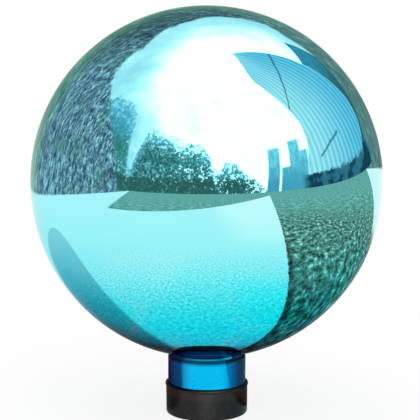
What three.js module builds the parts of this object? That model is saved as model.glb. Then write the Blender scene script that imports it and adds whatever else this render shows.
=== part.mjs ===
// Garden gazing ball: a blown glass globe with its neck, silvered on the inside, stopped with a
// rubber bung and finished with a push-on rubber cap that covers the cut rim and serves as the foot.
// Millimetres, +Z up, origin at the centre of the cap's flat base.
import * as THREE from "three";

// Clearances between pieces that touch on the real object
const seatClearance = 0.3;
const capClearance = 0.25;

// Driving dimensions
const globe = {
  diameter: 254,
  wall: 2.2,
};
// belowGlobe runs from the cap's mouth up to the level of the globe's lowest point
const neck = {
  diameter: 57.2,
  wall: 3,
  belowGlobe: 20.5,
  shoulderFillet: 3.5,
  rimChamfer: 0.6,
};
const lining = {
  thickness: 0.3,
  aboveStopper: 0.8,
};
const stopper = {
  bodyHeight: 15,
  flangeThickness: 1.8,
  flangeInset: 0.5,
  ribRadius: 0.9,
  leadChamfer: 2,
  edgeChamfer: 0.4,
};
const cap = {
  height: 23,
  wall: 1.15,
  draft: 0.1,
  floor: 2.2,
  edgeRadius: 1.4,
  cornerRadius: 1,
  beadRadius: 1.5,
  beadProud: 0.6,
};

// How finely the round shapes are divided, and how many sealing ribs the stopper carries.
// The globe has as many steps above its widest level as below it.
const turnSegments = 48;
const halfGlobeSteps = 10;
const filletSteps = 4;
const beadSteps = 5;
const ribCount = 3;

// Sizes and heights that follow from the driving dimensions
const globeRadius = globe.diameter / 2;
const cavityRadius = globeRadius - globe.wall;
const neckRadius = neck.diameter / 2;
const boreRadius = neckRadius - neck.wall;
const globeHeight = cap.height + neck.belowGlobe + globeRadius;
const flangeBase = cap.floor + seatClearance;
const flangeTop = flangeBase + stopper.flangeThickness;
const mouthHeight = flangeTop + seatClearance;
const stopperTop = flangeTop + stopper.bodyHeight;
const liningBase = stopperTop + lining.aboveStopper;

// Points along a round stretch of a profile: x is the distance from the axis, y the height.
// Angles are from the +x direction, in radians.
function arc(centreX, centreY, radius, from, to, steps) {
  const points = [];
  for (let i = 0; i <= steps; i += 1) {
    const angle = from + ((to - from) * i) / steps;
    points.push([centreX + radius * Math.cos(angle), centreY + radius * Math.sin(angle)]);
  }
  return points;
}

// A solid of revolution about Z. The profile starts and ends on the axis, with the solid on its left.
function turned(profile) {
  const points = profile.map(([x, y]) => new THREE.Vector2(Math.max(x, 0), y));
  return new THREE.LatheGeometry(points, turnSegments).rotateX(Math.PI / 2);
}

// The surface from the globe's top, over the shoulder fillet, to the straight neck. Outside and
// inside faces alike come from this outline, with their own radii.
function globeToNeck(sphereRadius, tubeRadius, filletCentre, filletRadius) {
  const [centreX, centreY] = filletCentre;
  const shoulder = Math.atan2(centreY - globeHeight, centreX);
  const upper = arc(0, globeHeight, sphereRadius, Math.PI / 2, 0, halfGlobeSteps);
  const lower = arc(0, globeHeight, sphereRadius, 0, shoulder, halfGlobeSteps);
  upper[0][0] = 0;
  const fillet = arc(centreX, centreY, filletRadius, shoulder + Math.PI, Math.PI, filletSteps);
  fillet[filletSteps][0] = tubeRadius;
  return [...upper, ...lower.slice(1), ...fillet.slice(1)];
}

// Centre of the circle that touches a sphere about the globe's centre and a tube about the axis
function shoulderCentre(sphereRadius, tubeRadius, filletRadius) {
  const x = tubeRadius + filletRadius;
  return [x, globeHeight - Math.sqrt((sphereRadius + filletRadius) ** 2 - x ** 2)];
}

// The glass keeps the neck's wall round the shoulder, so the inner fillet is larger by that much
const innerFillet = neck.shoulderFillet + neck.wall;
const outerShoulder = shoulderCentre(globeRadius, neckRadius, neck.shoulderFillet);
const innerShoulder = shoulderCentre(cavityRadius, boreRadius, innerFillet);

// A surface inside the glass, set in from the cavity's wall by the given depth
function insideGlass(depth) {
  return globeToNeck(cavityRadius - depth, boreRadius - depth, innerShoulder, innerFillet + depth);
}

// Globe and neck, blown in one piece, with the neck's rim ground flat
function glassGlobe() {
  const outside = globeToNeck(globeRadius, neckRadius, outerShoulder, neck.shoulderFillet);
  const rim = [
    [neckRadius, mouthHeight + neck.rimChamfer],
    [neckRadius - neck.rimChamfer, mouthHeight],
    [boreRadius + neck.rimChamfer, mouthHeight],
    [boreRadius, mouthHeight + neck.rimChamfer],
  ];
  return turned([...outside, ...rim, ...insideGlass(0).reverse()].reverse());
}

// Silver film and its backing paint, lying on the inside of the glass down to the stopper
function mirrorLining() {
  const face = insideGlass(seatClearance);
  const back = insideGlass(seatClearance + lining.thickness);
  const foot = [
    [boreRadius - seatClearance, liningBase],
    [boreRadius - seatClearance - lining.thickness, liningBase],
  ];
  return turned([...face, ...foot, ...back.reverse()].reverse());
}

// Solid rubber bung: flange under the rim, ribbed body in the bore, tapered lead at the top
function neckStopper() {
  const crest = boreRadius - seatClearance;
  const body = crest - stopper.ribRadius;
  const flange = neckRadius - stopper.flangeInset;
  const ribPitch = (stopper.bodyHeight - stopper.leadChamfer) / ribCount;
  const profile = [
    [0, flangeBase],
    [flange - stopper.edgeChamfer, flangeBase],
    [flange, flangeBase + stopper.edgeChamfer],
    [flange, flangeTop],
    [body, flangeTop],
  ];
  for (let i = 0; i < ribCount; i += 1) {
    const height = flangeTop + ribPitch * (i + 0.5);
    profile.push(...arc(body, height, stopper.ribRadius, -Math.PI / 2, Math.PI / 2, beadSteps));
  }
  profile.push([body, stopperTop - stopper.leadChamfer]);
  profile.push([body - stopper.leadChamfer, stopperTop]);
  profile.push([0, stopperTop]);
  return turned(profile);
}

// Push-on cap: flat base, skirt with a slight draft, and a rounded bead about its mouth
function endCap() {
  const bore = neckRadius + capClearance;
  const skirt = bore + cap.wall;
  const skirtFoot = skirt - cap.draft;
  const beadCentre = skirt + cap.beadProud - cap.beadRadius;
  const beadHeight = cap.height - cap.beadRadius;
  const beadFoot = -Math.acos((skirt - beadCentre) / cap.beadRadius);
  const edgeCentre = skirtFoot - cap.edgeRadius;
  const cornerCentre = bore - cap.cornerRadius;
  const cornerHeight = cap.floor + cap.cornerRadius;
  const profile = [
    [0, 0],
    ...arc(edgeCentre, cap.edgeRadius, cap.edgeRadius, -Math.PI / 2, 0, filletSteps),
    ...arc(beadCentre, beadHeight, cap.beadRadius, beadFoot, Math.PI / 2, beadSteps),
    [bore, cap.height],
    ...arc(cornerCentre, cornerHeight, cap.cornerRadius, 0, -Math.PI / 2, filletSteps),
    [0, cap.floor],
  ];
  return turned(profile);
}

const materials = {
  tintedGlass: new THREE.MeshStandardMaterial({
    color: 0x2cc6e8, roughness: 0.03, metalness: 0.6, transparent: true, opacity: 0.55,
  }),
  silvering: new THREE.MeshStandardMaterial({ color: 0xe4e8ea, roughness: 0.04, metalness: 1 }),
  bungRubber: new THREE.MeshStandardMaterial({ color: 0x3a3633, roughness: 0.8, metalness: 0 }),
  capRubber: new THREE.MeshStandardMaterial({ color: 0x232422, roughness: 0.55, metalness: 0 }),
};

function piece(name, geometry, material) {
  const mesh = new THREE.Mesh(geometry, material);
  mesh.name = name;
  return mesh;
}

const gazingBall = new THREE.Group();
gazingBall.add(
  piece("glass_globe", glassGlobe(), materials.tintedGlass),
  piece("mirror_lining", mirrorLining(), materials.silvering),
  piece("neck_stopper", neckStopper(), materials.bungRubber),
  piece("end_cap", endCap(), materials.capRubber),
);

export default gazingBall;
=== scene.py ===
"""Looks of the garden gazing ball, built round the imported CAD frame. Metres, +Z up."""
import math
from collections import namedtuple

import bmesh
import bpy
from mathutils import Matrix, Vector

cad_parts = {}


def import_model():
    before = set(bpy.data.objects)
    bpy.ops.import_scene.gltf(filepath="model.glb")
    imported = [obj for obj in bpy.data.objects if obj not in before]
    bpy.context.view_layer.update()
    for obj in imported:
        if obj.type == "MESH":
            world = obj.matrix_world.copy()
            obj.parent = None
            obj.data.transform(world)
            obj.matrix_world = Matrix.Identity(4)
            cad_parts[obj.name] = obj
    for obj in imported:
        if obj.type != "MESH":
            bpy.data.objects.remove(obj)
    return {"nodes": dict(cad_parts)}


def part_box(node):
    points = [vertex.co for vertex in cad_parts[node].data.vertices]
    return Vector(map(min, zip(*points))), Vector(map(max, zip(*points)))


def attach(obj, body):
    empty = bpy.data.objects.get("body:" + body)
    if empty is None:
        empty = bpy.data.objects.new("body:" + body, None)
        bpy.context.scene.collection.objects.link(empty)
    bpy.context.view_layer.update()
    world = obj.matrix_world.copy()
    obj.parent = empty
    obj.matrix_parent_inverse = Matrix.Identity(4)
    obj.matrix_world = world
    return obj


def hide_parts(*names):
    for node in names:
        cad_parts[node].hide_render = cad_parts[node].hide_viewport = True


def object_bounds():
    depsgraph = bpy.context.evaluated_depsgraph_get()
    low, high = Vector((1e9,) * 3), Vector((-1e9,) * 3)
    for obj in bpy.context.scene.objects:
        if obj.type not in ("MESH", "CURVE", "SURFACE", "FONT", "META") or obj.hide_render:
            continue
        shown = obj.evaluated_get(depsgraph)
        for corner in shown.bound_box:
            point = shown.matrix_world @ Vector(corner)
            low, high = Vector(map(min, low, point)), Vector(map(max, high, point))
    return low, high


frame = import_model()
cad_low, cad_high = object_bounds()


# Sizes read from the frame

def reach(name, low, high):
    """Largest distance from the Z axis among a CAD node's corners between two heights."""
    corners = [v.co for v in frame["nodes"][name].data.vertices if low <= v.co.z <= high]
    return max(math.hypot(c.x, c.y) for c in corners)


globe_low, globe_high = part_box("glass_globe")
lining_low, lining_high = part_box("mirror_lining")
stopper_low, stopper_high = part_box("neck_stopper")
cap_low, cap_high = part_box("end_cap")

GLOBE_RADIUS = globe_high.x
GLOBE_CENTRE = globe_high.z - GLOBE_RADIUS
NECK_RADIUS = reach("glass_globe", globe_low.z, cap_high.z)
LINING_RADIUS = lining_high.x
LINING_NECK_RADIUS = reach("mirror_lining", lining_low.z, cap_high.z)
FLANGE_RADIUS = stopper_high.x
BEAD_REACH = cap_high.x

# Sizes that the frame doesn't give as a corner of a box
GLASS_WALL = 0.0022
NECK_WALL = 0.003
SHOULDER_FILLET = 0.0035
RIM_ROUND = 0.0006
LINING_THICKNESS = 0.0003
FLANGE_THICKNESS = 0.0018
FLANGE_ROUND = 0.0004
RIB_RADIUS = 0.0009
RIB_COUNT = 3
LEAD_CHAMFER = 0.002
BEAD_RADIUS = 0.0015
BEAD_PROUD = 0.0006
CAP_DRAFT = 0.0001
CAP_WALL = 0.00115
CAP_FLOOR = 0.0022
CAP_EDGE = 0.0014
CAP_CORNER = 0.001

# The glass's inside: the globe's, the neck's, and the fillet between them
INSIDE_RADIUS = GLOBE_RADIUS - GLASS_WALL
BORE_RADIUS = NECK_RADIUS - NECK_WALL
BORE_FILLET = SHOULDER_FILLET + NECK_WALL

# Sides of the turned bodies, and steps of the arcs in their profiles
GLOBE_SIDES = 192
CAP_SIDES = 160
HIDDEN_SIDES = 96
OUTSIDE_STEPS = 150
INSIDE_STEPS = 60
FILLET_STEPS = 14
BEAD_STEPS = 16
RIB_STEPS = 10
CAP_EDGE_STEPS = 10
CAP_CORNER_STEPS = 6
SMALL_STEPS = 5

# A profile's corner that is nearer the axis than this lies on it
ON_AXIS = 1e-7
# Edges that bend by more than this, in radians, are sharp
SHARP_BEND = 0.6

# Directions in a profile, as angles from the outward one
DOWN = -math.pi / 2
OUTWARD = 0
UP = math.pi / 2
INWARD = math.pi

# Where the photograph was taken from, seen from the object's own frame
CAMERA_PLACE = Vector((0, -1.0715, 0.306))
CAMERA_AIM = Vector((0.0024, 0, 0.1501))
CAMERA_LENS = 127.7
CAMERA_SENSOR = 36


# Shapes

def arc(centre_r, centre_z, radius, start, end, steps):
    """Points of a profile along an arc. Angles are in radians from the outward direction."""
    turns = [start + (end - start) * i / steps for i in range(steps + 1)]
    return [(centre_r + radius * math.cos(t), centre_z + radius * math.sin(t)) for t in turns]


def turned(name, profile, sides):
    """A closed body of revolution. The profile runs from the axis to the axis, solid on its left."""
    verts, rings, faces = [], [], []
    for r, z in profile:
        if r < ON_AXIS:
            rings.append([len(verts)] * sides)
            verts.append((0, 0, z))
            continue
        rings.append(list(range(len(verts), len(verts) + sides)))
        for i in range(sides):
            turn = 2 * math.pi * i / sides
            verts.append((r * math.cos(turn), r * math.sin(turn), z))
    for lower, upper in zip(rings, rings[1:]):
        for i in range(sides):
            j = (i + 1) % sides
            corners = dict.fromkeys((lower[i], lower[j], upper[j], upper[i]))
            faces.append(tuple(corners))
    mesh = bpy.data.meshes.new(name)
    mesh.from_pydata(verts, [], faces)
    shape = bmesh.new()
    shape.from_mesh(mesh)
    for face in shape.faces:
        face.smooth = True
    for edge in shape.edges:
        edge.smooth = edge.calc_face_angle(0) < SHARP_BEND
    shape.to_mesh(mesh)
    shape.free()
    piece = bpy.data.objects.new(name, mesh)
    bpy.context.scene.collection.objects.link(piece)
    return piece


def shoulder_centre(sphere_radius, tube_radius, fillet):
    """Centre of the circle that touches the globe's sphere and the neck's tube."""
    r = tube_radius + fillet
    return r, GLOBE_CENTRE - math.sqrt((sphere_radius + fillet) ** 2 - r ** 2)


def globe_to_neck(sphere_radius, fillet, centre, sphere_steps):
    """Profile from the globe's top over the shoulder fillet, round its centre, to the neck."""
    centre_r, centre_z = centre
    shoulder = math.atan2(centre_z - GLOBE_CENTRE, centre_r)
    sphere = arc(0, GLOBE_CENTRE, sphere_radius, UP, shoulder, sphere_steps)
    sphere[0] = (0, sphere[0][1])
    return sphere + arc(centre_r, centre_z, fillet, shoulder + INWARD, INWARD, FILLET_STEPS)[1:]


def globe_glass():
    """Globe and neck in one blown piece, open at the neck's rim, whose two edges are rounded."""
    outer_centre = shoulder_centre(GLOBE_RADIUS, NECK_RADIUS, SHOULDER_FILLET)
    inner_centre = shoulder_centre(INSIDE_RADIUS, BORE_RADIUS, BORE_FILLET)
    outside = globe_to_neck(GLOBE_RADIUS, SHOULDER_FILLET, outer_centre, OUTSIDE_STEPS)
    inside = globe_to_neck(INSIDE_RADIUS, BORE_FILLET, inner_centre, INSIDE_STEPS)
    rim_height = globe_low.z + RIM_ROUND
    outer_rim = arc(NECK_RADIUS - RIM_ROUND, rim_height, RIM_ROUND, OUTWARD, DOWN, SMALL_STEPS)
    inner_rim = arc(BORE_RADIUS + RIM_ROUND, rim_height, RIM_ROUND, DOWN, -INWARD, SMALL_STEPS)
    profile = outside + outer_rim + inner_rim + inside[::-1]
    return turned("globe_glass", profile[::-1], GLOBE_SIDES)


def globe_silvering():
    """The silver film and its paint, a thin shell inside the glass."""
    centre = shoulder_centre(INSIDE_RADIUS, BORE_RADIUS, BORE_FILLET)
    face_fillet = BORE_FILLET + BORE_RADIUS - LINING_NECK_RADIUS
    rear_fillet = face_fillet + LINING_THICKNESS
    face = globe_to_neck(LINING_RADIUS, face_fillet, centre, INSIDE_STEPS)
    rear = globe_to_neck(LINING_RADIUS - LINING_THICKNESS, rear_fillet, centre, INSIDE_STEPS)
    foot = [(LINING_NECK_RADIUS, lining_low.z), (LINING_NECK_RADIUS - LINING_THICKNESS, lining_low.z)]
    profile = face + foot + rear[::-1]
    return turned("globe_silvering", profile[::-1], HIDDEN_SIDES)


def neck_bung():
    """Rubber bung: flange, sealing ribs that reach as far out as the lining, and a tapered lead."""
    body = LINING_NECK_RADIUS - RIB_RADIUS
    flange_edge = FLANGE_RADIUS - FLANGE_ROUND
    flange_top = stopper_low.z + FLANGE_THICKNESS
    lead_start = stopper_high.z - LEAD_CHAMFER
    pitch = (lead_start - flange_top) / RIB_COUNT
    profile = [(0, stopper_low.z)]
    profile += arc(flange_edge, stopper_low.z + FLANGE_ROUND, FLANGE_ROUND, DOWN, OUTWARD, SMALL_STEPS)
    profile += arc(flange_edge, flange_top - FLANGE_ROUND, FLANGE_ROUND, OUTWARD, UP, SMALL_STEPS)
    profile.append((body, flange_top))
    for i in range(RIB_COUNT):
        height = flange_top + pitch * (i + 0.5)
        profile += arc(body, height, RIB_RADIUS, DOWN, UP, RIB_STEPS)
    profile += [(body, lead_start), (body - LEAD_CHAMFER, stopper_high.z), (0, stopper_high.z)]
    return turned("neck_bung", profile, HIDDEN_SIDES)


def foot_cap():
    """Push-on cap with a bead about its mouth."""
    skirt = BEAD_REACH - BEAD_PROUD
    bore = skirt - CAP_WALL
    foot = skirt - CAP_DRAFT
    floor_top = cap_low.z + CAP_FLOOR
    bead_centre = BEAD_REACH - BEAD_RADIUS
    bead_height = cap_high.z - BEAD_RADIUS
    bead_foot = -math.acos((skirt - bead_centre) / BEAD_RADIUS)
    base_ring = foot - 3 * CAP_EDGE
    profile = [(0, cap_low.z), (base_ring, cap_low.z)]
    profile += arc(foot - CAP_EDGE, cap_low.z + CAP_EDGE, CAP_EDGE, DOWN, OUTWARD, CAP_EDGE_STEPS)
    profile += arc(bead_centre, bead_height, BEAD_RADIUS, bead_foot, UP, BEAD_STEPS)
    profile.append((bore, cap_high.z))
    profile += arc(bore - CAP_CORNER, floor_top + CAP_CORNER, CAP_CORNER, OUTWARD, DOWN, CAP_CORNER_STEPS)
    profile.append((0, floor_top))
    return turned("foot_cap", profile, CAP_SIDES)


# Shader helpers

def fill(tree, target, inputs):
    """Fills a node's sockets with values or links."""
    for key, value in inputs.items():
        socket = target.inputs[key]
        if isinstance(value, bpy.types.NodeSocket):
            tree.links.new(value, socket)
        else:
            socket.default_value = value


def node(tree, kind, inputs=None, **settings):
    """Adds a node, sets its settings, and fills its sockets."""
    made = tree.nodes.new(kind)
    for key, value in settings.items():
        setattr(made, key, value)
    fill(tree, made, inputs or {})
    return made


def calc(tree, operation, a, b=0.0, c=0.0):
    """The result of a Math node."""
    return node(tree, "ShaderNodeMath", {0: a, 1: b, 2: c}, operation=operation).outputs[0]


def vector_calc(tree, operation, a, b=(0, 0, 0)):
    """The result of a Vector Math node, a number where the operation gives one."""
    gives_number = operation in ("LENGTH", "DISTANCE", "DOT_PRODUCT")
    made = node(tree, "ShaderNodeVectorMath", {0: a, 1: b}, operation=operation)
    return made.outputs["Value" if gives_number else "Vector"]


def parts_of(tree, vector):
    """A vector's X, Y and Z."""
    return node(tree, "ShaderNodeSeparateXYZ", {0: vector}).outputs


def times(tree, *factors):
    """Product of several masks and shares."""
    total = factors[0]
    for factor in factors[1:]:
        total = calc(tree, "MULTIPLY", total, factor)
    return total


def negated(tree, mask):
    """1 where the mask is 0."""
    return calc(tree, "SUBTRACT", 1.0, mask)


def spread(tree, value, low, high):
    """Goes from low, where the value is 0, to high, where it is 1."""
    return calc(tree, "MULTIPLY_ADD", value, high - low, low)


def slope(tree, value, start, end):
    """Rises smoothly from 0 to 1 as the value goes from start to end."""
    ends = {"Value": value, "From Min": start, "From Max": end}
    made = node(tree, "ShaderNodeMapRange", ends, interpolation_type="SMOOTHSTEP")
    return made.outputs["Result"]


def within(tree, value, low, high, soft):
    """1 between low and high, falling to 0 over the soft width outside."""
    return times(tree, slope(tree, value, low - soft, low), slope(tree, value, high + soft, high))


def rgba(colour):
    """A colour as its socket takes it."""
    return colour if isinstance(colour, bpy.types.NodeSocket) else (*colour, 1)


def blend(tree, factor, a, b, mode="MIX"):
    """Colour a where the factor is 0, and b where it is 1, or a times b with mode MULTIPLY."""
    inputs = {"Factor": factor, 6: rgba(a), 7: rgba(b)}
    return node(tree, "ShaderNodeMix", inputs, data_type="RGBA", blend_type=mode).outputs[2]


# A colour that comes in, by its share, as a value goes from start to end
Cast = namedtuple("Cast", "start end colour share", defaults=(1.0,))


def tinted(tree, shown, value, cast):
    """What is shown, with a cast over it."""
    mask = times(tree, slope(tree, value, cast.start, cast.end), cast.share)
    return blend(tree, mask, shown, cast.colour)


def ramp(tree, value, stops):
    """Colours at places from 0 to 1."""
    made = node(tree, "ShaderNodeValToRGB", {0: value})
    elements = made.color_ramp.elements
    while len(elements) < len(stops):
        elements.new(0.5)
    for element, (place, colour) in zip(elements, stops):
        element.position = place
        element.color = (*colour, 1)
    return made.outputs[0]


def ramp_along(tree, value, stops):
    """Colours at places in the value's own unit."""
    low, high = stops[0][0], stops[-1][0]
    share = node(tree, "ShaderNodeMapRange", {"Value": value, "From Min": low, "From Max": high}).outputs[0]
    return ramp(tree, share, [((place - low) / (high - low), colour) for place, colour in stops])


def noise(tree, vector, scale, detail=2.0, roughness=0.5):
    """Noise about a middle of 0.5."""
    sockets = {"Vector": vector, "Scale": scale, "Detail": detail, "Roughness": roughness}
    return node(tree, "ShaderNodeTexNoise", sockets).outputs["Fac"]


def bump(tree, height, distance, strength=1.0):
    """A normal that follows small heights."""
    sockets = {"Height": height, "Distance": distance, "Strength": strength}
    return node(tree, "ShaderNodeBump", sockets).outputs["Normal"]


def object_place(tree):
    """The point in the object's own coordinates."""
    return node(tree, "ShaderNodeTexCoord").outputs["Object"]


def turned_away(tree):
    """0 where the surface faces the eye, and 1 where it is seen edge on."""
    return node(tree, "ShaderNodeLayerWeight", {"Blend": 0.5}).outputs["Facing"]


def material(name):
    """A new material, its tree and its Principled shader."""
    made = bpy.data.materials.new(name)
    made.use_nodes = True
    return made, made.node_tree, made.node_tree.nodes["Principled BSDF"]


# Mirrored glass

# Colour of the mirror by height: deeper towards the neck and paler towards the top, which partly paints in
# reflections that are brighter above and dimmer below. The dark and bright bands from 0.0412 to 0.0625 are
# painted shade and reflections about the junction with the neck
TINTS_AND_PAINTED_BANDS = (
    (0.0395, (0.0, 0.50, 0.90)),
    (0.0412, (0.002, 0.28, 0.56)),
    (0.0424, (0.0, 0.035, 0.09)),
    (0.0443, (0.0, 0.03, 0.08)),
    (0.0454, (0.004, 0.42, 0.76)),
    (0.0500, (0.006, 0.62, 0.98)),
    (0.0525, (0.006, 0.42, 0.66)),
    (0.0556, (0.002, 0.22, 0.36)),
    (0.0580, (0.004, 0.15, 0.21)),
    (0.0600, (0.03, 0.16, 0.20)),
    (0.0625, (0.01, 0.28, 0.35)),
    (0.0660, (0.004, 0.53, 0.67)),
    (0.074, (0.004, 0.58, 0.71)),
    (0.086, (0.008, 0.67, 0.77)),
    (0.098, (0.028, 0.73, 0.81)),
    (0.110, (0.085, 0.80, 0.87)),
    (0.122, (0.170, 0.863, 0.921)),
    (0.137, (0.290, 0.91, 0.94)),
    (0.148, (0.337, 0.93, 0.95)),
    (0.175, (0.40, 0.94, 0.97)),
)
# The tint of its edge-on reflections, by height
EDGE_TINTS = (
    (0.0395, (0.0, 0.16, 0.30)),
    (0.0612, (0.02, 0.25, 0.36)),
    (0.0801, (0.30, 0.8, 0.88)),
    (0.1547, (0.80, 0.93, 0.95)),
)
# Uneven streaks of deeper glass
STREAK_TINT = (0.0, 0.55, 0.80)
STREAK_SHARE = 0.12

# Painted shade on the neck's sides, in place of dark surroundings reflected there: the colour darkens where
# one looks along the wall, from this share of a grazing look on, and below these heights
WALL_LOOK = (0.08, 0.34)
WALL_TOP = (0.058, 0.052)
SIDE_SHADE_COLOUR = (0.1, 0.24, 0.37)
# The painted side shade falls to the share below on the +X side, between these distances from the middle
SIDE_SHADE_EASING = (0.016, 0.009)
SIDE_SHADE_PLUS_X_SHARE = 0.12

# Further round to +X and below these heights the neck is mostly not a mirror, and its colour is painted by
# how much one looks along the wall: bright blue where it faces the eye and dark at its sides, a painted
# reflection and painted shade
PAINTED_NECK_ACROSS = (0.0115, 0.0175)
PAINTED_NECK_TOP = (0.0425, 0.0408)
PAINTED_NECK_SHARE = 0.88
PAINTED_NECK_LIGHT_AND_SHADE = (
    (0.10, (0.0, 0.42, 0.85)),
    (0.17, (0.0, 0.36, 0.84)),
    (0.29, (0.0, 0.135, 0.39)),
    (0.45, (0.0, 0.01, 0.08)),
    (0.70, (0.0, 0.0, 0.02)),
)

MIRROR_ROUGHNESS = (0.004, 0.016)
RIPPLE_DEPTH = 0.00012


def mirrored_glass():
    """Polished turquoise glass with silver right behind it, and painted shade and reflections about the
    neck.
    """
    made, tree, shader = material("mirrored_glass")
    place = object_place(tree)
    parts = parts_of(tree, place)
    across, height = parts["X"], parts["Z"]
    edge_on = turned_away(tree)
    streak = noise(tree, place, scale=9, detail=3)
    # The tint by height carries painted shade and reflections in bands about the junction with the neck
    tint = blend(tree, times(tree, streak, STREAK_SHARE), ramp_along(tree, height, TINTS_AND_PAINTED_BANDS), STREAK_TINT)
    # Painted shade on the neck's sides where one looks along the wall, weaker on the +X side
    side_shade_share = spread(tree, slope(tree, across, *SIDE_SHADE_EASING), SIDE_SHADE_PLUS_X_SHARE, 1.0)
    painted_side_shade = times(tree, slope(tree, edge_on, *WALL_LOOK), slope(tree, height, *WALL_TOP), side_shade_share)
    tint = blend(tree, painted_side_shade, tint, SIDE_SHADE_COLOUR, "MULTIPLY")
    # On the neck's +X side: painted reflection and shade by facing, in place of the mirror
    painted_neck = times(tree, slope(tree, across, *PAINTED_NECK_ACROSS), slope(tree, height, *PAINTED_NECK_TOP), PAINTED_NECK_SHARE)
    tint = blend(tree, painted_neck, tint, ramp(tree, edge_on, PAINTED_NECK_LIGHT_AND_SHADE))
    film = noise(tree, place, scale=26, detail=4, roughness=0.6)
    ripple = noise(tree, place, scale=14, detail=1)
    fill(tree, shader, {
        "Base Color": tint,
        "Metallic": negated(tree, painted_neck),
        "Specular Tint": ramp_along(tree, height, EDGE_TINTS),
        "Roughness": spread(tree, film, *MIRROR_ROUGHNESS),
        "Normal": bump(tree, ripple, RIPPLE_DEPTH),
        "Specular IOR Level": 0.1,
        "Coat Weight": 0.2,
        "Coat Roughness": 0.01,
        "Coat IOR": 1.3,
    })
    return made


# Clear glass and silver

CLEAR_TINTS = ((0.16, 0.66, 0.90), (0.22, 0.74, 0.94))
CLEAR_ROUGHNESS = (0.01, 0.04)
SILVER_TINTS = ((0.80, 0.82, 0.83), (0.90, 0.91, 0.92))
SILVER_ROUGHNESS = (0.05, 0.17)


def clear_tinted_glass():
    """The unsilvered end of the neck, round the bung."""
    made, tree, shader = material("clear_tinted_glass")
    seeds = noise(tree, object_place(tree), scale=60, detail=2)
    fill(tree, shader, {
        "Base Color": blend(tree, seeds, *CLEAR_TINTS),
        "Roughness": spread(tree, seeds, *CLEAR_ROUGHNESS),
        "Transmission Weight": 1,
        "IOR": 1.5,
    })
    return made


def silver_film():
    """Silver that is a little cloudy in its tone and its gloss."""
    made, tree, shader = material("silver_film")
    cloud = noise(tree, object_place(tree), scale=40, detail=4)
    fill(tree, shader, {
        "Base Color": blend(tree, cloud, *SILVER_TINTS),
        "Roughness": spread(tree, cloud, *SILVER_ROUGHNESS),
        "Metallic": 1,
    })
    return made


# Rubbers

# How glossy a rubber is, from where it faces the eye to its turned-away sides
CAP_GLOSS = ((0.03, 0.62), (0.05, 0.46), (0.08, 0.31), (0.20, 0.26), (0.45, 0.11), (0.70, 0.03), (1.0, 0.0))
BUNG_GLOSS = ((0.0, 0.28), (1.0, 0.20))
CAP_TONES = ((0.0020, 0.0020, 0.0018), (0.0036, 0.0036, 0.0032))
BUNG_TONES = ((0.050, 0.047, 0.044), (0.075, 0.070, 0.066))
CAP_GRAIN = 1400
BUNG_GRAIN = 1500
GRAIN_DEPTH = 0.00006
GRAIN_STRENGTH = 0.7
RUBBER_ROUGHNESS = (0.10, 0.18)

# A warm cast on the cap's skirt, in a band below its bead
WARM_TONE = (0.026, 0.011, 0.008)
WARM_BAND = (cap_high.z - 4.5 * BEAD_RADIUS, cap_high.z - 2.2 * BEAD_RADIUS)
WARM_SOFT = 0.003
WARM_SHARE = 0.8


def rubber(name, tones, grain, gloss, warm_band=None):
    """Moulded rubber: a fine grain, soft mottling, and where asked a warm cast in a band."""
    made, tree, shader = material(name)
    place = object_place(tree)
    mottle = noise(tree, place, scale=90, detail=3)
    colour = blend(tree, mottle, *tones)
    if warm_band:
        warmth = within(tree, parts_of(tree, place)["Z"], *warm_band, WARM_SOFT)
        colour = blend(tree, times(tree, warmth, WARM_SHARE), colour, WARM_TONE)
    fine = noise(tree, place, scale=grain, detail=2)
    levels = [(share, (level,) * 3) for share, level in gloss]
    fill(tree, shader, {
        "Base Color": colour,
        "Roughness": spread(tree, mottle, *RUBBER_ROUGHNESS),
        "Normal": bump(tree, fine, GRAIN_DEPTH, GRAIN_STRENGTH),
        "Specular IOR Level": ramp(tree, turned_away(tree), levels),
    })
    return made


# The object

def dress(piece, body, nodes, materials):
    """Puts a piece in place of its CAD nodes, on its body, with its materials."""
    for each in materials:
        piece.data.materials.append(each)
    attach(piece, body)
    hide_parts(*nodes)


def build_object():
    """The four pieces. The glass has no silver behind it below the lining's end."""
    glass = globe_glass()
    dress(glass, "globe", ["glass_globe"], [mirrored_glass(), clear_tinted_glass()])
    for face in glass.data.polygons:
        face.material_index = 1 if face.center.z < lining_low.z else 0
    dress(globe_silvering(), "globe", ["mirror_lining"], [silver_film()])
    bung = rubber("bung_rubber", BUNG_TONES, BUNG_GRAIN, BUNG_GLOSS)
    dress(neck_bung(), "globe", ["neck_stopper"], [bung])
    cap = rubber("cap_rubber", CAP_TONES, CAP_GRAIN, CAP_GLOSS, WARM_BAND)
    dress(foot_cap(), "cap", ["end_cap"], [cap])


# Studio

# The mirror shows the studio all round. Directions are an azimuth, 0 on the camera's side and
# positive towards +X, and an elevation, both in degrees. The floor is in metres. A pair of values
# is where something starts to come in and where it is fully there.

WHITE = (1, 1, 1)
# Colour ramps hold angles as shares of this one
CURVE_UNIT = 90.0
# How far the leafy noise frays an edge, in degrees of elevation
ELEVATION_FRAY = 9
# Fine upright lines on the boards
LINES_STRETCH = (46, 46, 5)


def seen_directly(tree):
    """1 for rays that show the surroundings: from the camera, off a gloss, or through glass."""
    path = node(tree, "ShaderNodeLightPath").outputs
    total = calc(tree, "ADD", path["Is Camera Ray"], path["Is Glossy Ray"])
    return calc(tree, "MINIMUM", calc(tree, "ADD", total, path["Is Transmission Ray"]), 1.0)


def curve(tree, value, points):
    """An angle that follows points of (place, angle), all in degrees."""
    greys = [(place, (angle / CURVE_UNIT,) * 3) for place, angle in points]
    return times(tree, ramp_along(tree, value, greys), CURVE_UNIT)


def azimuth_of(tree, x, y):
    """Degrees from the camera's side, positive towards +X."""
    return times(tree, calc(tree, "ARCTAN2", x, times(tree, y, -1.0)), math.degrees(1))


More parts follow.
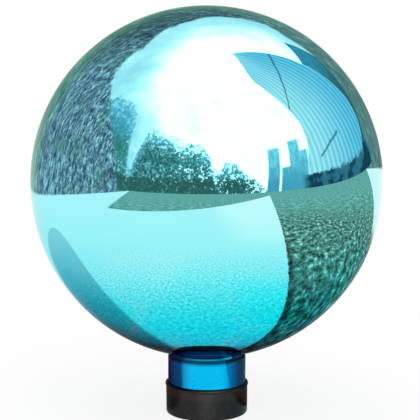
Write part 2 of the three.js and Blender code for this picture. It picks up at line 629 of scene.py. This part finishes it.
class Look:
    """A direction in the mirror in degrees, with the noises that several things share."""

    def __init__(self, tree, direction):
        parts = parts_of(tree, direction)
        self.direction = direction
        self.azimuth = azimuth_of(tree, parts["X"], parts["Y"])
        self.elevation = times(tree, calc(tree, "ARCSINE", parts["Z"]), math.degrees(1))
        leaves = noise(tree, direction, scale=14, detail=6, roughness=0.72)
        self.leaves = calc(tree, "SUBTRACT", leaves, 0.5)
        self.frayed_elevation = calc(tree, "MULTIPLY_ADD", self.leaves, ELEVATION_FRAY, self.elevation)
        self.boughs = noise(tree, direction, scale=9, detail=2)
        upright = vector_calc(tree, "MULTIPLY", direction, LINES_STRETCH)
        self.lines = noise(tree, upright, scale=1, detail=3, roughness=0.6)


class Spot:
    """A point of the floor, how far out it lies, and a noise that frays edges there."""

    def __init__(self, tree, place):
        parts = parts_of(tree, place)
        self.place = place
        self.x, self.y = parts["X"], parts["Y"]
        self.distance = vector_calc(tree, "LENGTH", place)
        self.azimuth = azimuth_of(tree, self.x, self.y)
        self.fray = calc(tree, "SUBTRACT", noise(tree, place, scale=60, detail=4, roughness=0.7), 0.5)


# Diffuser overhead: its middle, and how far its bright core and its fade reach from there

SOFTBOX = (50, 45)
SOFTBOX_CORE = 50
SOFTBOX_FADE = 76
# What the haze adds at its least and at its most
HAZE = (-0.60, 0.80)
GLOW = ((0.0, (0.70, 0.84, 0.92)), (0.3, (1.05, 1.10, 1.10)), (1.0, (2.6, 2.6, 2.6)))


def diffuser(tree, look):
    """The bright overhead, with a light haze."""
    turn, rise = (math.radians(angle) for angle in SOFTBOX)
    towards = (math.sin(turn) * math.cos(rise), -math.cos(turn) * math.cos(rise), math.sin(rise))
    facing = vector_calc(tree, "DOT_PRODUCT", look.direction, towards)
    fade, core = (math.cos(math.radians(angle)) for angle in (SOFTBOX_FADE, SOFTBOX_CORE))
    haze = noise(tree, look.direction, scale=3.4, detail=5, roughness=0.55)
    glow = calc(tree, "ADD", slope(tree, facing, fade, core), spread(tree, haze, *HAZE))
    return ramp(tree, glow, GLOW)


# Narrow boards on the right, which lean a little: left, right and top

BOARDS = ((38.2, 45.6, 24), (47.8, 53.6, 12.5), (53.8, 61.3, 26), (61.3, 67, 19.5))
BOARD_LEAN = -0.16
BOARD_SOFT = 1.0
BOARD_FOOT = (0.14, 0.40, 0.54)
BOARD_RISE = Cast(2, 22, (0.42, 0.80, 0.92))
BOARD_LINES = Cast(0.44, 0.60, (0.08, 0.30, 0.46), 0.5)


def narrow_boards(tree, look, shown):
    """Stands the narrow boards up before what is shown."""
    upright = calc(tree, "MULTIPLY_ADD", look.elevation, BOARD_LEAN, look.azimuth)
    paint = tinted(tree, BOARD_FOOT, look.elevation, BOARD_RISE)
    paint = tinted(tree, paint, look.lines, BOARD_LINES)
    for left, right, top in BOARDS:
        board = within(tree, upright, left, right, BOARD_SOFT)
        board = times(tree, board, slope(tree, look.elevation, top + BOARD_SOFT, top))
        shown = blend(tree, board, shown, paint)
    return shown


# Tall ribbed board: its left and right edges by elevation, and its dark seams by azimuth

RIBBED_LEFT = (
    (0, 66), (12, 68.5), (19, 71.6), (25, 73.7), (34, 74.7), (41, 72.7), (50, 70.2), (57, 68.4),
    (63, 67.3), (66.5, 70), (70.2, 76.7), (74.4, 95.2), (76, 121), (77, 135),
)
RIBBED_RIGHT = (
    (0, 122), (8, 127.5), (12, 133), (18.4, 135), (28, 132.5), (41.5, 129.4), (54, 128), (76, 127),
)
RIBBED_LEFT_EDGE = (-0.8, 1.2)
RIBBED_RIGHT_EDGE = (-0.6, 0.6)
RIB_PITCH = 4.3
RIB_GROOVE = (0.1 * RIB_PITCH, 0.35 * RIB_PITCH)
SEAMS = (
    ((74, 41.5), (82.3, 48.1), (94.4, 53.9), (111.2, 57.8), (128, 58.3)),
    ((81, 13.8), (92.3, 17.9), (103.2, 19.6)),
)
SEAM_HALF_WIDTH = 0.3
SEAM_SOFT = 0.6
SEAM_END_SOFT = 0.5
SEAM_SHARE = 0.75
SEAM_TONE = (0.03, 0.14, 0.26)
# The board deepens over these degrees from its left edge, and a little towards its top
RIBBED_TONES = ((0.80, 0.94, 0.98), (0.26, 0.64, 0.86))
RIBBED_ACROSS = (0, 60)
RIBBED_UP = (44, 70)
RIBBED_UP_SHARE = 0.35
GROOVE_SHARES = (0.30, 0.50)
GROOVE_TONE = (0.05, 0.26, 0.46)


def ribbed_outline(tree, look):
    """Degrees from the ribbed board's left edge, and 1 on the board."""
    from_left = calc(tree, "SUBTRACT", look.azimuth, curve(tree, look.elevation, RIBBED_LEFT))
    to_right = calc(tree, "SUBTRACT", curve(tree, look.elevation, RIBBED_RIGHT), look.azimuth)
    board = times(tree, slope(tree, from_left, *RIBBED_LEFT_EDGE), slope(tree, to_right, *RIBBED_RIGHT_EDGE))
    return from_left, board


def ribbed_board(tree, look, shown, from_left, board):
    """Stands the ribbed board up before what is shown."""
    across = slope(tree, from_left, *RIBBED_ACROSS)
    upwards = times(tree, slope(tree, look.elevation, *RIBBED_UP), RIBBED_UP_SHARE)
    paint = blend(tree, calc(tree, "MAXIMUM", across, upwards), *RIBBED_TONES)
    groove = slope(tree, calc(tree, "PINGPONG", look.azimuth, RIB_PITCH / 2), *RIB_GROOVE)
    groove = times(tree, groove, spread(tree, across, *GROOVE_SHARES))
    paint = blend(tree, groove, paint, GROOVE_TONE)
    for points in SEAMS:
        off_line = calc(tree, "SUBTRACT", look.elevation, curve(tree, look.azimuth, points))
        seam = within(tree, off_line, -SEAM_HALF_WIDTH, SEAM_HALF_WIDTH, SEAM_SOFT)
        stretch = within(tree, look.azimuth, points[0][0], points[-1][0], SEAM_END_SOFT)
        paint = blend(tree, times(tree, seam, stretch, SEAM_SHARE), paint, SEAM_TONE)
    return blend(tree, board, shown, paint)


# Shaded board next to the ribbed one: left, right and top

SHADED_BOARD = (128, 147, 41)
SHADED_BOARD_SOFT = 1.0
SHADED_TOP = (0.08, 0.34, 0.50)
SHADED_FALL = Cast(38, 20, (0.07, 0.16, 0.16))
SHADED_LINES = Cast(0.42, 0.58, (0.03, 0.10, 0.14), 0.45)


def shaded_board(tree, look, shown, ribbed):
    """Stands the shaded board up before what is shown, but not over the ribbed one."""
    left, right, top = SHADED_BOARD
    board = within(tree, look.azimuth, left, right, SHADED_BOARD_SOFT)
    below_top = slope(tree, look.elevation, top + SHADED_BOARD_SOFT, top)
    board = times(tree, board, below_top, negated(tree, ribbed))
    paint = tinted(tree, SHADED_TOP, look.elevation, SHADED_FALL)
    paint = tinted(tree, paint, look.lines, SHADED_LINES)
    return blend(tree, board, shown, paint)


# Low leafy canvas in front: its height by azimuth

LOW_TOPS = (
    (-92, 42), (-80, 46), (-70, 46), (-62, 43), (-57, 37), (-54.5, 26), (-52.5, 13), (-50, 12),
    (-48, 19), (-46, 28), (-43, 34), (-36, 36), (-27, 33), (-20, 31.5), (-13, 31), (-5, 29.5),
    (1, 25.5), (3.4, 19), (4.6, 13.4), (8.4, 13), (11.9, 18.5), (16.5, 19.5), (21.3, 15.5),
    (27.3, 10), (32, 5.5), (36.5, 3), (38.4, 0),
)
LOW_FRAY = 20
LOW_EDGE = (-0.8, 0.8)
LOW_END_SOFT = 1.5
# It is thinner over these degrees below its top, and in a band of elevations with soft ends
THIN_TOP = (14, 0)
THIN_BAND = (10, 15, 4)
THIN_BAND_SHARE = 0.45
LACE_THINNER = 0.14
LACE_HOLES = (0.58, 0.70)
LACE_LEFT = 0.3
LEAFY = ((0.36, (0.025, 0.08, 0.09)), (0.52, (0.09, 0.24, 0.24)), (0.68, (0.40, 0.75, 0.78)))
BOUGH_CAST = Cast(0.52, 0.40, (0.04, 0.12, 0.12), 0.4)
TOP_CAST = Cast(13, 1, (0.26, 0.66, 0.80), 0.6)
FOOT_CAST = Cast(11, 7, (0.05, 0.11, 0.09), 0.8)
# Its far left stretch is greener, and blue towards the top
LEFT_STRETCH = (-50, -56)
LEFT_SHARE = 0.45
LEFT_TOP = (0.16, 0.55, 0.78)
LEFT_FALL = Cast(36, 22, (0.10, 0.30, 0.25))


def low_canvas(tree, look, shown):
    """Hangs the leafy canvas before what is shown, thinner and paler towards its top."""
    frayed = calc(tree, "MULTIPLY_ADD", look.leaves, LOW_FRAY, look.elevation)
    depth = calc(tree, "SUBTRACT", curve(tree, look.azimuth, LOW_TOPS), frayed)
    stretch = within(tree, look.azimuth, LOW_TOPS[0][0], LOW_TOPS[-1][0], LOW_END_SOFT)
    thin_band = times(tree, within(tree, look.elevation, *THIN_BAND), THIN_BAND_SHARE)
    thin = calc(tree, "MAXIMUM", slope(tree, depth, *THIN_TOP), thin_band)
    lace = noise(tree, look.direction, scale=30, detail=5, roughness=0.7)
    holes = slope(tree, calc(tree, "MULTIPLY_ADD", thin, LACE_THINNER, lace), *LACE_HOLES)
    canvas = times(tree, slope(tree, depth, *LOW_EDGE), stretch, spread(tree, holes, 1.0, LACE_LEFT))
    paint = ramp(tree, noise(tree, look.direction, scale=34, detail=5, roughness=0.75), LEAFY)
    paint = tinted(tree, paint, look.boughs, BOUGH_CAST)
    paint = tinted(tree, paint, depth, TOP_CAST)
    left_paint = tinted(tree, LEFT_TOP, look.elevation, LEFT_FALL)
    paint = tinted(tree, paint, look.azimuth, Cast(*LEFT_STRETCH, left_paint, LEFT_SHARE))
    paint = tinted(tree, paint, look.elevation, FOOT_CAST)
    return blend(tree, canvas, shown, paint)


# Tall mottled canvas, from the left round the back: its height by degrees along it

TALL_START = -57
TALL_TOPS = (
    (0, 0), (2, 6), (5, 15), (9, 22), (13, 28), (21, 34), (31, 39), (43, 43), (57, 45.5),
    (68, 48.5), (80, 54), (88, 54), (95, 51.5), (107, 49.5), (118, 45), (123, 41.5), (132, 37),
    (140, 32.5), (147, 34), (151, 31), (155, 29), (162, 19), (171, 7.5), (176, 0),
)
TALL_TURN_FRAY = 5
TALL_EDGE = (1.2, -1.2)
TALL_END_SOFT = 1
CLOTH_STRETCH = (30, 30, 17)
CLOTH = ((0.38, (0.02, 0.03, 0.05)), (0.50, (0.21, 0.23, 0.32)), (0.63, (0.76, 0.84, 0.88)))
CLOTH_CAST = Cast(0.50, 0.66, (0.12, 0.24, 0.17), 0.5)

# The green wash on the canvas's stretch behind the object, by the sine of the elevation
WASH = (
    (-0.10, (0.70, 0.84, 0.62)),
    (-0.05, (0.62, 0.70, 0.48)),
    (0.045, (0.34, 0.42, 0.27)),
    (0.16, (0.20, 0.36, 0.19)),
    (0.27, (0.15, 0.30, 0.15)),
    (0.45, (0.07, 0.11, 0.08)),
    (0.70, (0.04, 0.05, 0.06)),
)
WASH_END = Cast(128, 140, (0.16, 0.23, 0.17))
WASH_STRETCH = (74, 98)
WASH_SHARE = 0.6


def along_tall(tree, azimuth):
    """Degrees along the tall canvas, from its start on the left round the back."""
    return calc(tree, "WRAP", calc(tree, "MULTIPLY_ADD", azimuth, -1.0, TALL_START), 360.0, 0.0)


def tall_cloth(tree, direction, azimuth):
    """Mottled cloth with upright streaks, greener in places, and washed green behind the object."""
    along = along_tall(tree, azimuth)
    upright = vector_calc(tree, "MULTIPLY", direction, CLOTH_STRETCH)
    cloth = ramp(tree, noise(tree, upright, scale=1, detail=7, roughness=0.78), CLOTH)
    cloth = tinted(tree, cloth, noise(tree, direction, scale=4, detail=3), CLOTH_CAST)
    wash = ramp_along(tree, parts_of(tree, direction)["Z"], WASH)
    wash = tinted(tree, wash, along, WASH_END)
    return tinted(tree, cloth, along, Cast(*WASH_STRETCH, wash, WASH_SHARE))


def tall_canvas(tree, look, shown):
    """Hangs the tall canvas before what is shown, with a ragged top."""
    along = along_tall(tree, calc(tree, "MULTIPLY_ADD", look.leaves, TALL_TURN_FRAY, look.azimuth))
    over_top = calc(tree, "SUBTRACT", look.frayed_elevation, curve(tree, along, TALL_TOPS))
    end = TALL_TOPS[-1][0]
    stretch = slope(tree, along, end + TALL_END_SOFT, end - TALL_END_SOFT)
    canvas = times(tree, slope(tree, over_top, *TALL_EDGE), stretch)
    return blend(tree, canvas, shown, tall_cloth(tree, look.direction, look.azimuth))


# Dark board along the horizon: left, right and top

DARK_BOARD = (66, 133, 6.5)
DARK_END_SOFT = 3
DARK_TOP_SOFT = 0.8
DARK_TONE = (0.015, 0.055, 0.09)
DARK_CAST = Cast(0.42, 0.62, (0.06, 0.18, 0.25))


def dark_board(tree, look, shown):
    """Lays the dark board before what is shown."""
    left, right, top = DARK_BOARD
    board = within(tree, look.azimuth, left, right, DARK_END_SOFT)
    board = times(tree, board, slope(tree, look.frayed_elevation, top + DARK_TOP_SOFT, top - DARK_TOP_SOFT))
    return blend(tree, board, shown, tinted(tree, DARK_TONE, look.boughs, DARK_CAST))


def studio_as_mirrored(tree, direction):
    """Colours round the studio in the mirror, from the back of the studio to its front."""
    look = Look(tree, direction)
    from_left, ribbed = ribbed_outline(tree, look)
    shown = narrow_boards(tree, look, diffuser(tree, look))
    shown = ribbed_board(tree, look, shown, from_left, ribbed)
    shown = shaded_board(tree, look, shown, ribbed)
    shown = low_canvas(tree, look, shown)
    shown = tall_canvas(tree, look, shown)
    return dark_board(tree, look, shown)


# Pale ground of the floor: its fine grain, how far that reaches, and washes beside the object

GRAIN = ((0.39, (0.62, 0.64, 0.68)), (0.50, (0.96, 0.97, 0.97)), (0.60, (1.30, 1.32, 1.30)))
FAR_GROUND = Cast(0.14, 0.44, (0.99, 1.0, 1.0))
# Each wash: where it comes in along X and by distance, and its colour
GROUND_WASHES = (
    ((-0.03, -0.10), (0.32, 0.20), (1.35, 1.0, 1.0)),
    ((0.0, 0.09), (0.22, 0.15), (0.45, 1.04, 1.02)),
    ((0.0, 0.25), (0.28, 0.45), (1.36, 1.06, 1.02)),
)


def pale_ground(tree, spot):
    """The floor where no mat lies on it."""
    shown = ramp(tree, noise(tree, spot.place, scale=200, detail=5, roughness=0.8), GRAIN)
    shown = tinted(tree, shown, spot.distance, FAR_GROUND)
    for across, out, colour in GROUND_WASHES:
        wash = times(tree, slope(tree, spot.x, *across), slope(tree, spot.distance, *out))
        shown = blend(tree, wash, shown, colour, "MULTIPLY")
    return shown


# Lines across the floor. A spot is past one where x * a + y * b is over the offset, and the
# line's edge is soft and frayed by the last two values.

Line = namedtuple("Line", "a b offset soft fray")
RIGHT_MAT_EDGES = (Line(0.783, 0.6225, 0.045, 0.002, 0.010), Line(0.671, 0.741, 0.0315, 0.002, 0.010))
RIGHT_MAT_FAR = Line(0.69, -1.0, -0.14, 0.01, 0.02)
FRONT_MAT_NEAR = Line(-0.82, -1.0, 1.22, 0.015, 0.10)
FRONT_MAT_SIDE = Line(0.6587, -0.7524, -0.225, 0.02, 0.12)
CANVAS_FOOT_LEFT = Line(-0.897, 1.0, 1.64, 0.03, 0.7)
CANVAS_FOOT_BACK = Line(0.0, 1.0, 1.52, 0.03, 0.7)
CANVAS_FOOT_RIGHT = Line(-0.67, 1.0, 1.31, 0.03, 0.7)


def past(tree, spot, line):
    """1 on the far side of a line across the floor."""
    along = calc(tree, "ADD", times(tree, spot.x, line.a), times(tree, spot.y, line.b))
    along = calc(tree, "MULTIPLY_ADD", spot.fray, line.fray, along)
    return slope(tree, along, line.offset - line.soft, line.offset + line.soft)


def past_either(tree, spot, lines):
    """1 on the far side of at least one of two lines."""
    first, second = (past(tree, spot, line) for line in lines)
    return calc(tree, "MAXIMUM", first, second)


# Lawn-like mats: clumps in the middle distance, coarser ones further out, and tufts near the object

LAWN = (
    (0.38, (0.03, 0.05, 0.03)), (0.48, (0.17, 0.21, 0.17)),
    (0.56, (0.36, 0.44, 0.37)), (0.64, (1.0, 1.1, 1.0)),
)
FAR_LAWN = ((0.36, (0.14, 0.23, 0.19)), (0.50, (0.27, 0.41, 0.36)), (0.66, (0.55, 0.72, 0.64)))
FAR_LAWN_FROM = (0.5, 1.2)
NEAR_LAWN = (
    (0.38, (0.06, 0.04, 0.03)), (0.47, (0.21, 0.13, 0.11)),
    (0.55, (0.40, 0.28, 0.23)), (0.66, (1.00, 0.85, 0.72)),
)
NEAR_LAWN_FROM = (0.23, 0.15)
# The near lawn is cooler behind the object
NEAR_LAWN_BACK = (0.0, 0.06)
NEAR_LAWN_WASH = (0.70, 1.0, 1.05)
# The right mat reaches this far out, and further past its far line; it starts at these azimuths
RIGHT_MAT_REACH = (0.66, 0.52)
RIGHT_MAT_TURN = (0, 20)
# Its verge is dark near the object: how wide and soft it is, how far out it goes, and its wash
VERGE = 0.013
VERGE_SOFT = 0.006
VERGE_REACH = (0.45, 0.30)
VERGE_SHARE = 0.85
VERGE_WASH = (0.50, 0.36, 0.38)


def lawn_cloth(tree, spot):
    """What the mats are made of."""
    lawn = ramp(tree, noise(tree, spot.place, scale=38, detail=6, roughness=0.74), LAWN)
    far = ramp(tree, noise(tree, spot.place, scale=13, detail=5, roughness=0.7), FAR_LAWN)
    near = ramp(tree, noise(tree, spot.place, scale=62, detail=5, roughness=0.7), NEAR_LAWN)
    near = blend(tree, slope(tree, spot.y, *NEAR_LAWN_BACK), near, NEAR_LAWN_WASH, "MULTIPLY")
    lawn = blend(tree, slope(tree, spot.distance, *FAR_LAWN_FROM), lawn, far)
    return blend(tree, slope(tree, spot.distance, *NEAR_LAWN_FROM), lawn, near)


def with_mats(tree, spot, shown):
    """Lays the right mat and the front mat, and darkens the right one's verge."""
    inner_edges = [edge._replace(offset=edge.offset + VERGE, soft=VERGE_SOFT) for edge in RIGHT_MAT_EDGES]
    short_of_end = slope(tree, spot.distance, *RIGHT_MAT_REACH)
    right_mat = times(
        tree,
        past_either(tree, spot, RIGHT_MAT_EDGES),
        calc(tree, "MAXIMUM", past(tree, spot, RIGHT_MAT_FAR), short_of_end),
        slope(tree, spot.azimuth, *RIGHT_MAT_TURN),
    )
    front_mat = times(tree, past(tree, spot, FRONT_MAT_NEAR), past(tree, spot, FRONT_MAT_SIDE))
    shown = blend(tree, calc(tree, "MAXIMUM", right_mat, front_mat), shown, lawn_cloth(tree, spot))
    outer = negated(tree, past_either(tree, spot, inner_edges))
    verge = times(tree, right_mat, outer, slope(tree, spot.distance, *VERGE_REACH), VERGE_SHARE)
    return blend(tree, verge, shown, VERGE_WASH, "MULTIPLY")


# The globe's own shade on the floor: the way the light goes, in degrees from -X towards +Y, and
# how high it stands. The levels are what the shade leaves, by the distance from its deepest place.

LIGHT_WAY = 23.5
LIGHT_RISE = 31.5
SHADE_EDGE = (1.14, 0.98)
SHADE_DEEPEST = (-0.01, 0.08, 0.0)
SHADE_LEVELS = (
    (0.05, (0.25, 0.22, 0.18)),
    (0.10, (0.28, 0.28, 0.29)),
    (0.13, (0.41, 0.39, 0.43)),
    (0.165, (0.46, 0.49, 0.54)),
    (0.20, (0.48, 0.56, 0.62)),
    (0.23, (0.50, 0.59, 0.66)),
    (0.27, (0.55, 0.65, 0.72)),
    (0.35, (0.60, 0.69, 0.77)),
    (0.43, (0.62, 0.73, 0.79)),
)


def shade_of_globe(tree, spot):
    """1 inside the ellipse that a ball's shade covers on the floor."""
    way, rise = math.radians(LIGHT_WAY), math.radians(LIGHT_RISE)
    length = GLOBE_RADIUS / math.sin(rise)
    away = GLOBE_CENTRE / math.tan(rise)
    along = calc(tree, "MULTIPLY_ADD", spot.x, -math.cos(way), times(tree, spot.y, math.sin(way)))
    along = calc(tree, "MULTIPLY_ADD", along, 1 / length, -away / length)
    across = calc(tree, "MULTIPLY_ADD", spot.x, math.sin(way), times(tree, spot.y, math.cos(way)))
    across = times(tree, across, 1 / GLOBE_RADIUS)
    round_off = calc(tree, "MULTIPLY_ADD", along, along, times(tree, across, across))
    return slope(tree, round_off, *SHADE_EDGE)


def with_shade(tree, spot, shown):
    """Lays the globe's shade over the floor."""
    levels = ramp_along(tree, vector_calc(tree, "DISTANCE", spot.place, SHADE_DEEPEST), SHADE_LEVELS)
    return blend(tree, shade_of_globe(tree, spot), shown, levels, "MULTIPLY")


def with_canvas_foot(tree, spot, shown):
    """Lets the tall canvas's cloth run out over the far floor, as seen from the globe's middle."""
    foot = calc(tree, "MINIMUM", past(tree, spot, CANVAS_FOOT_BACK), past(tree, spot, CANVAS_FOOT_RIGHT))
    foot = calc(tree, "MAXIMUM", foot, past(tree, spot, CANVAS_FOOT_LEFT))
    from_globe = vector_calc(tree, "ADD", spot.place, (0, 0, -GLOBE_CENTRE))
    direction = vector_calc(tree, "NORMALIZE", from_globe)
    return blend(tree, foot, shown, tall_cloth(tree, direction, spot.azimuth))


def floor_as_mirrored(tree, place):
    """Colours of the floor in the mirror."""
    spot = Spot(tree, place)
    shown = with_mats(tree, spot, pale_ground(tree, spot))
    return with_canvas_foot(tree, spot, with_shade(tree, spot, shown))


# The floor itself, whose glow is a little less near the object, so that the shadow shows there

FLOOR_DROP = 0.0001
FLOOR_REACH = 40.0
FLOOR_MATTE = (0.86, 0.86, 0.85, 1)
FLOOR_FADE = (0.06, 0.42)
FLOOR_GLOW = (0.86, 1.0)


def floor_paint():
    """Matte, with a white glow that is full away from the object, and clear from below."""
    paint = bpy.data.materials.new("pale_floor")
    paint.use_nodes = True
    tree = paint.node_tree
    tree.nodes.clear()
    place = object_place(tree)
    glossy = node(tree, "ShaderNodeLightPath").outputs["Is Glossy Ray"]
    shown = blend(tree, glossy, WHITE, floor_as_mirrored(tree, place))
    glow = node(tree, "ShaderNodeEmission", {"Color": shown}).outputs[0]
    matte = node(tree, "ShaderNodeBsdfDiffuse", {"Color": FLOOR_MATTE}).outputs[0]
    away = slope(tree, vector_calc(tree, "LENGTH", place), *FLOOR_FADE)
    lit = calc(tree, "MAXIMUM", spread(tree, away, *FLOOR_GLOW), glossy)
    share = times(tree, lit, seen_directly(tree))
    mixed = node(tree, "ShaderNodeMixShader", {0: share, 1: matte, 2: glow}).outputs[0]
    clear = node(tree, "ShaderNodeBsdfTransparent").outputs[0]
    from_below = node(tree, "ShaderNodeNewGeometry").outputs["Backfacing"]
    one_sided = node(tree, "ShaderNodeMixShader", {0: from_below, 1: mixed, 2: clear}).outputs[0]
    node(tree, "ShaderNodeOutputMaterial", {"Surface": one_sided})
    return paint


def floor():
    """Pale floor just under the object."""
    mesh = bpy.data.meshes.new("floor")
    r = FLOOR_REACH
    z = cad_low.z - FLOOR_DROP
    mesh.from_pydata([(-r, -r, z), (r, -r, z), (r, r, z), (-r, r, z)], [], [(0, 1, 2, 3)])
    made = bpy.data.objects.new("floor", mesh)
    bpy.context.scene.collection.objects.link(made)
    mesh.materials.append(floor_paint())


# World, lamps and camera

ROOM_LIGHT = (0.55, 0.55, 0.56)
# Each lamp: its place, size and power
LAMPS = {"key": ((0.5, -1.6, 1.5), 1.4, 22), "top": ((-0.3, 0.2, 1.9), 1.6, 16)}
LAMP_AIM = Vector((0, 0, 0.1))


def world():
    """White to the eye and plain soft light for the surfaces; the studio's walls in reflections."""
    made = bpy.data.worlds.new("studio")
    bpy.context.scene.world = made
    made.use_nodes = True
    tree = made.node_tree
    tree.nodes.clear()
    direction = node(tree, "ShaderNodeTexCoord").outputs["Generated"]
    path = node(tree, "ShaderNodeLightPath").outputs
    plain = blend(tree, path["Is Camera Ray"], ROOM_LIGHT, WHITE)
    plain = blend(tree, path["Is Transmission Ray"], plain, WHITE)
    colour = blend(tree, path["Is Glossy Ray"], plain, studio_as_mirrored(tree, direction))
    light = node(tree, "ShaderNodeBackground", {"Color": colour}).outputs[0]
    node(tree, "ShaderNodeOutputWorld", {"Surface": light})


def stand(name, data, place, aim):
    """Stands a lamp or a camera in the scene, turned to its aim."""
    made = bpy.data.objects.new(name, data)
    made.location = place
    made.rotation_euler = (aim - Vector(place)).to_track_quat("-Z", "Y").to_euler()
    bpy.context.scene.collection.objects.link(made)
    return made


def lamp(name, place, size, power):
    """A soft square lamp that lights surfaces but isn't drawn in reflections."""
    data = bpy.data.lights.new(name, "AREA")
    data.size = size
    data.energy = power
    stand(name, data, place, LAMP_AIM).visible_glossy = False


def camera():
    """The camera at the photograph's viewing angle."""
    data = bpy.data.cameras.new("camera")
    data.lens = CAMERA_LENS
    data.sensor_width = CAMERA_SENSOR
    bpy.context.scene.camera = stand("camera", data, CAMERA_PLACE, CAMERA_AIM)


bpy.context.scene.view_settings.view_transform = "Standard"
camera()
build_object()
floor()
world()
for lamp_name, (lamp_place, lamp_size, lamp_power) in LAMPS.items():
    lamp(lamp_name, lamp_place, lamp_size, lamp_power)
